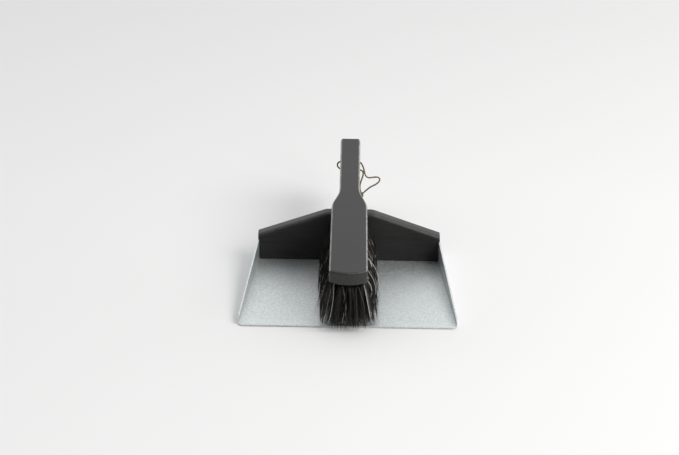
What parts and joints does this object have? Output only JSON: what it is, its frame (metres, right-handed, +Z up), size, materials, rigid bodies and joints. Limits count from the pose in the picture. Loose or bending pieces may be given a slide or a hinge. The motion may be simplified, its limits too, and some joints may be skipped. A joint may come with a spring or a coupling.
{
  "type": "dust pan and brush set",
  "caption": "Galvanised dust pan with a black wooden back board and handle, and a black hand brush that lies on the handle with its bristles in the pan.",
  "frame": {"origin": "on the pan's underside, on the centre line, midway between its front edge and the back board", "axes": "+Z up, +Y towards the handles, +X to the right when looking along +Y"},
  "size_m": [0.2548, 0.3427, 0.091],
  "materials": {
    "galvanised_steel": "hot-dip galvanised sheet with a fine spangle",
    "black_beech": "black stain and matte oil, closed grain, worn lighter on the edges",
    "horsehair": "black horsehair mixed with a few pale hairs",
    "lace_leather": "round tan leather lace, matte",
    "fastener_steel": "plain zinc-plated steel",
    "magnet_nickel": "satin nickel plating",
    "zinc_plate": "zinc-plated steel disc"
  },
  "bodies": {
    "pan": {"pan_sheet": "galvanised_steel", "back_board": "black_beech", "pan_handle": "black_beech", "handle_screws": "fastener_steel", "floor_screws": "fastener_steel", "left_wall_nails": "fastener_steel", "right_wall_nails": "fastener_steel", "magnet": "magnet_nickel", "magnet_screw": "fastener_steel", "lace_right": "lace_leather", "lace_left": "lace_leather", "lace_knot": "lace_leather"},
    "brush": {"brush_stock": "black_beech", "catch_plate": "zinc_plate", "catch_screw": "fastener_steel", "bristle_row_1": "horsehair", "bristle_row_2": "horsehair", "bristle_row_3": "horsehair", "bristle_row_4": "horsehair", "bristle_row_5": "horsehair", "anchor_row_1": "fastener_steel", "anchor_row_2": "fastener_steel", "anchor_row_3": "fastener_steel", "anchor_row_4": "fastener_steel", "anchor_row_5": "fastener_steel"}
  },
  "joints": [
    {"name": "brush_lift", "type": "slide", "parent": "pan", "child": "brush", "axis": [0, 0, 1], "range_m": [0, 0.15]}
  ]
}
